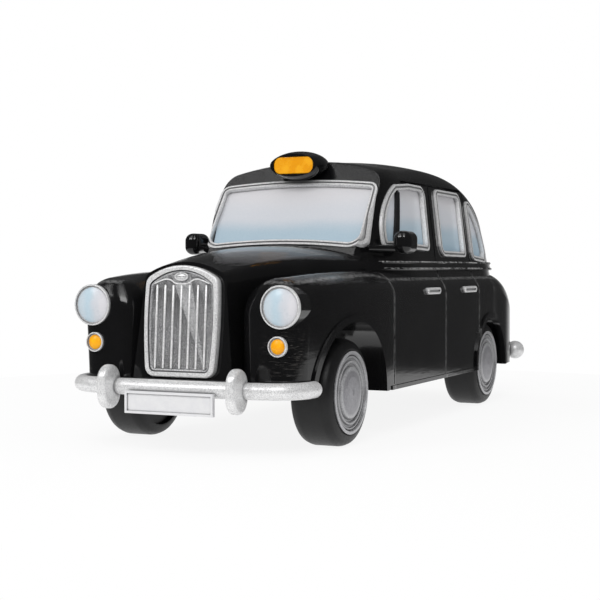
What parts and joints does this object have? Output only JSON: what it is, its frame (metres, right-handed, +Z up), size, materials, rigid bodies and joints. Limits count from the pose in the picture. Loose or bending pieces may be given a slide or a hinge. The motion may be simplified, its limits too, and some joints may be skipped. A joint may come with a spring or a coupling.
{
  "type": "model taxi cab",
  "caption": "Scale model of a classic black taxi cab: a cast body with opaque painted windows, silver trim and a roof sign, screwed to a base plate and rolling on wire axles.",
  "frame": {"origin": "on the floor under the middle of the model", "axes": "+Z up, the front of the cab faces -Y, the cab's left side is +X"},
  "size_m": [0.0464, 0.122, 0.0509],
  "materials": {
    "body_paint": "gloss",
    "base_paint": "satin",
    "screw_steel": "satin",
    "silver_trim": "satin",
    "window_paint": "gloss",
    "black_trim": "satin",
    "headlamp_lens": "gloss",
    "amber_lens": "gloss",
    "red_lens": "gloss",
    "plate": "satin",
    "tyre_rubber": "satin",
    "axle_steel": "satin"
  },
  "bodies": {
    "cab": {"body_shell": "body_paint", "roof_sign_housing": "body_paint", "door_mirror_left": "body_paint", "door_mirror_right": "body_paint", "base_plate": "base_paint", "base_screws": "screw_steel", "windscreen": "window_paint", "rear_window": "window_paint", "front_door_window_left": "window_paint", "front_door_window_right": "window_paint", "rear_door_window_left": "window_paint", "rear_door_window_right": "window_paint", "quarter_window_left": "window_paint", "quarter_window_right": "window_paint", "windscreen_frame": "silver_trim", "rear_window_frame": "silver_trim", "side_window_frames_left": "silver_trim", "side_window_frames_right": "silver_trim", "grille_surround": "silver_trim", "grille_slats": "silver_trim", "headlamp_rim_left": "silver_trim", "headlamp_rim_right": "silver_trim", "side_lamp_rim_left": "silver_trim", "side_lamp_rim_right": "silver_trim", "front_bumper": "silver_trim", "front_overriders": "silver_trim", "rear_bumper": "silver_trim", "rear_overriders": "silver_trim", "door_handles_left": "silver_trim", "door_handles_right": "silver_trim", "boot_handle": "silver_trim", "quarterlight_bar_left": "black_trim", "quarterlight_bar_right": "black_trim", "headlamp_lens_left": "headlamp_lens", "headlamp_lens_right": "headlamp_lens", "side_lamp_lens_left": "amber_lens", "side_lamp_lens_right": "amber_lens", "roof_sign_lens": "amber_lens", "tail_lamp_left": "red_lens", "tail_lamp_right": "red_lens", "front_number_plate": "plate", "rear_number_plate": "plate"},
    "front_wheels": {"front_axle": "axle_steel", "front_tyre_left": "tyre_rubber", "front_tyre_right": "tyre_rubber", "front_hub_left": "silver_trim", "front_hub_right": "silver_trim"},
    "rear_wheels": {"rear_axle": "axle_steel", "rear_tyre_left": "tyre_rubber", "rear_tyre_right": "tyre_rubber", "rear_hub_left": "silver_trim", "rear_hub_right": "silver_trim"}
  },
  "joints": [
    {"name": "front_axle_roll", "type": "hinge", "parent": "cab", "child": "front_wheels", "pos_m": [0, -0.038, 0.0088], "axis": [1, 0, 0], "continuous": true},
    {"name": "rear_axle_roll", "type": "hinge", "parent": "cab", "child": "rear_wheels", "pos_m": [0, 0.0357, 0.0088], "axis": [1, 0, 0], "continuous": true}
  ]
}
